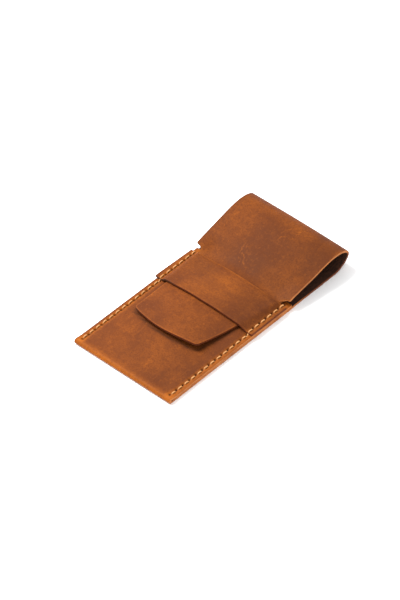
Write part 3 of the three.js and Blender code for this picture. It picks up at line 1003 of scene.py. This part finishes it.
def grain_leather(name, base, light, dark):
    """The finished side: waxed pull-up hide, lighter where it is bent."""
    n = Nodes(name)
    place = n.flat_map()
    clouds = n.noise(place, 2.6, 5.0, 0.6, 0.6)
    streaks = n.noise(n.stretched(place, (9.0, 1.6, 1.0), 0.35), 2.2, 4.0, 0.6, 0.8)
    mottle = n.noise(place, 26.0, 4.0, 0.65)
    dots = n.noise(place, 48.0, 4.0, 0.65, 0.6)
    grains = n.noise(place, 95.0, 3.0, 0.65)
    cloudy = n.times(n.math("SUBTRACT", clouds, 0.5), 0.35)
    pull = n.math("ADD", n.attribute("pull"), cloudy, clamp=True)
    unworn = n.math("SUBTRACT", 1.0, n.times(pull, 0.7))
    tone = n.mix(n.ramp(clouds, 0.3, 0.72), dark, base)
    tone = n.tint(tone, light, n.ramp(streaks, 0.55, 0.8), 0.28)
    tone = n.tint(tone, light, n.ramp(pull, 0.12, 0.95), 0.85)
    tone = n.tint(tone, dark, n.ramp(mottle, 0.42, 0.68), 0.5, unworn)
    tone = n.tint(tone, light, n.ramp(dots, 0.5, 0.72), 0.22, unworn)
    tone = n.tint(tone, dark, n.ramp(grains, 0.48, 0.62), 0.7, unworn)
    # painted shade, darkening the hide towards the right and over the flap
    tone = n.mix(n.attribute("deep"), tone, SHADE_MULTIPLIER, blend="MULTIPLY")
    crease = creases(n, place)
    tone = n.tint(tone, light, crease, 0.34)
    # painted shade in the stitch holes, under the tongue tip and along the flap's left rim
    tone = n.tint(tone, PAINTED_SHADE_TONE, n.attribute("soil"), 0.95)
    rough = n.math("SUBTRACT", n.ramp(clouds, 0.25, 0.75, 0.6, 0.72), n.times(pull, 0.06))
    pores = n.add("ShaderNodeTexVoronoi", feature="F1")
    n.put_all(pores.inputs, {"Vector": place, "Scale": 95.0, "Randomness": 0.9})
    fine = n.math("ADD", n.times(pores.outputs["Distance"], 0.5), n.noise(place, 230.0, 3.0, 0.6))
    skin = n.bump(n.math("SUBTRACT", fine, n.times(crease, 0.7)), 0.12 * MM, 0.45)
    relief = n.bump(n.noise(place, 12.0, 3.0, 0.5), 0.6 * MM, 0.3)
    n.put(skin.inputs["Normal"], relief.outputs["Normal"])
    n.put(n.shader.inputs["Specular Tint"], WARM_GLOSS)
    return n.finish(tone, rough, skin, specular=0.13)


def flesh_leather():
    """The unfinished side: matt and fibrous, its colour darkened as painted shade for the insides of
    pocket and roll.
    """
    n = Nodes("hide_flesh")
    place = n.flat_map()
    fibres = n.noise(n.stretched(place, (5.0, 1.0, 1.0), 0.4), 30.0, 4.0, 0.65, 1.2)
    patches = n.noise(place, 3.5, 3.0, 0.6)
    # painted shade: these tones are darkened to stand for the shade inside pocket and roll
    tone = n.mix(n.ramp(fibres, 0.35, 0.7), colour(54, 30, 19), colour(90, 54, 34))
    tone = n.tint(tone, colour(42, 22, 13), n.ramp(patches, 0.4, 0.7), 0.35)
    return n.finish(tone, 0.88, n.bump(fibres, 0.25 * MM, 0.6), specular=0.2)


def cut_leather(name, base, light, worn):
    """The cut edge, its fibres packed in layers: darker at the case's left as painted shade, red-brown
    round the nose.
    """
    n = Nodes(name)
    place = n.in_object()
    layers = n.noise(n.stretched(place, (120.0, 120.0, 1300.0)), 1.0, 3.0, 0.6)
    wear = n.noise(place, 140.0, 3.0, 0.6)
    tone = n.mix(n.ramp(layers, 0.35, 0.7), base, light)
    tone = n.tint(tone, worn, n.ramp(wear, 0.45, 0.7), 0.45)
    split = n.add("ShaderNodeSeparateXYZ")
    n.put(split.inputs[0], place)
    x, y, z = split.outputs
    # painted shade on the cut edges at the case's left
    tone = n.mix(n.ramp(x, *LEFT_REACH, 0.0, 0.8), tone, LEFT_EDGE_SHADE)
    tone = n.tint(tone, NOSE_EDGE, n.times(n.ramp(y, *NOSE_REACH), n.ramp(z, *NOSE_RISE)), 0.85)
    return n.finish(tone, 0.7, n.bump(layers, 0.2 * MM, 0.5), specular=0.12)


def waxed_thread():
    """Thick golden thread, its wax a little dirty in places."""
    n = Nodes("waxed_thread")
    place = n.in_object()
    fuzz = n.noise(place, 2600.0, 3.0, 0.6)
    wax = n.noise(place, 190.0, 3.0, 0.6)
    tone = n.mix(n.ramp(fuzz, 0.3, 0.72), colour(206, 132, 64), colour(246, 186, 114))
    tone = n.tint(tone, colour(170, 96, 38), n.ramp(wax, 0.5, 0.75), 0.3)
    return n.finish(tone, 0.6, n.bump(fuzz, 0.08 * MM, 0.5))


# ---------- the case ----------
# Base, light, and dark or worn colour of each finish.
STRIP_TONES = colour(146, 76, 26), colour(194, 105, 26), colour(108, 52, 20)
BAND_TONES = colour(146, 77, 25), colour(186, 101, 24), colour(106, 51, 20)
EDGE_TONES = colour(186, 108, 54), colour(212, 136, 78), colour(132, 74, 38)
# the tongue tip's and band's cut edges: burnished dark, and darker still as painted shade
BURNISHED_AND_SHADED_TONES = colour(100, 46, 19), colour(120, 58, 28), colour(74, 33, 14)
FLESH_SIDE, BURNISHED_AND_SHADED = flesh_leather(), cut_leather("burnished_shaded_edge", *BURNISHED_AND_SHADED_TONES)
HIDE = [grain_leather("hide_grain", *STRIP_TONES), FLESH_SIDE, cut_leather("hide_edge", *EDGE_TONES)]
BAND_HIDE = [grain_leather("band_grain", *BAND_TONES), FLESH_SIDE, BURNISHED_AND_SHADED]
TIP_HIDE = [HIDE[GRAIN], FLESH_SIDE, BURNISHED_AND_SHADED]
THREAD = [waxed_thread()]


def finish_with(piece, materials):
    for material in materials:
        piece.data.materials.append(material)


def build_case():
    strip = [
        pouch_piece(),
        bend_piece("hide_lower_bend", JOINTS[0], JOINTS[1], ["nose_lower"]),
        bend_piece("hide_nose", JOINTS[1], JOINTS[2], ["nose_upper"]),
        bend_piece("hide_upper_bend", JOINTS[2], JOINTS[3], []),
        flap_piece(),
    ]
    for piece in strip:
        finish_with(piece, HIDE)
    finish_with(tip_piece(), TIP_HIDE)
    finish_with(band_piece(), BAND_HIDE)
    for name, side, node in (("left", -1, "left_seam_thread"), ("right", 1, "right_seam_thread")):
        finish_with(seam_piece(f"{name}_stitches", side, node), THREAD)


# ---------- camera, light and floor, in metres ----------
CAMERA_AZIMUTH, CAMERA_ELEVATION = math.radians(41.96), math.radians(43.43)
CAMERA_DISTANCE = 2.133
CAMERA_LENS, CAMERA_SENSOR = 204.46, 36
AIM = (0, -0.00343, 0)
AIM_SIDE, AIM_UP = -0.00597, 0.00401
WORLD_LIGHT, WORLD_SEEN = 1.14, 1.0  # of the light all round, and of the white behind the case
KEY_LIGHT = {"place": (-0.62, -0.07, 0.72), "size": 0.5, "power": 18.2}
LOW_FILL = {"place": (0.88, -0.22, 0.13), "size": 0.22, "power": 2.3}
FLOOR_HALF = 1.2
WHITE, FLOOR_GREY = (1, 1, 1, 1), (0.93, 0.93, 0.93, 1)


def place_camera():
    a, e = CAMERA_AZIMUTH, CAMERA_ELEVATION
    back = Vector((math.sin(a) * math.cos(e), -math.cos(a) * math.cos(e), math.sin(e)))
    right = Vector((math.cos(a), math.sin(a), 0))
    data = bpy.data.cameras.new("camera")
    data.lens = CAMERA_LENS
    data.sensor_width = CAMERA_SENSOR
    camera = new_object("camera", data)
    aim = Vector(AIM) + AIM_SIDE * right + AIM_UP * back.cross(right)
    camera.location = aim + CAMERA_DISTANCE * back
    camera.rotation_euler = back.to_track_quat("Z", "Y").to_euler()
    bpy.context.scene.camera = camera


def softbox(name, place, size, power):
    """A square light that faces the case."""
    data = bpy.data.lights.new(name, "AREA")
    data.shape = "SQUARE"
    data.size = size
    data.energy = power
    light = new_object(name, data)
    light.location = place
    light.rotation_euler = Vector(place).to_track_quat("Z", "Y").to_euler()


def white_world():
    """Soft studio light from all round, and plain white behind the case."""
    world = bpy.data.worlds.new("studio")
    world.use_nodes = True
    nodes, links = world.node_tree.nodes, world.node_tree.links
    seen_by_camera = nodes.new("ShaderNodeLightPath").outputs["Is Camera Ray"]
    light, white = nodes["Background"], nodes.new("ShaderNodeBackground")
    for background, strength in ((light, WORLD_LIGHT), (white, WORLD_SEEN)):
        background.inputs["Color"].default_value = WHITE
        background.inputs["Strength"].default_value = strength
    choose = nodes.new("ShaderNodeMixShader")
    for source, socket in zip((seen_by_camera, light.outputs[0], white.outputs[0]), choose.inputs):
        links.new(source, socket)
    links.new(choose.outputs[0], nodes["World Output"].inputs["Surface"])
    bpy.context.scene.world = world


def pale_floor():
    corners = [(x * FLOOR_HALF, y * FLOOR_HALF, 0) for x, y in ((-1, -1), (1, -1), (1, 1), (-1, 1))]
    mesh = bpy.data.meshes.new("floor")
    mesh.from_pydata(corners, [], [(0, 1, 2, 3)])
    n = Nodes("floor_paper")
    n.put_all(n.shader.inputs, {"Base Color": FLOOR_GREY, "Roughness": 0.9})
    mesh.materials.append(n.material)
    floor = new_object("floor", mesh)


build_case()
place_camera()
white_world()
pale_floor()
softbox("key_light", **KEY_LIGHT)
softbox("low_fill", **LOW_FILL)
bpy.context.scene.view_settings.view_transform = "Standard"
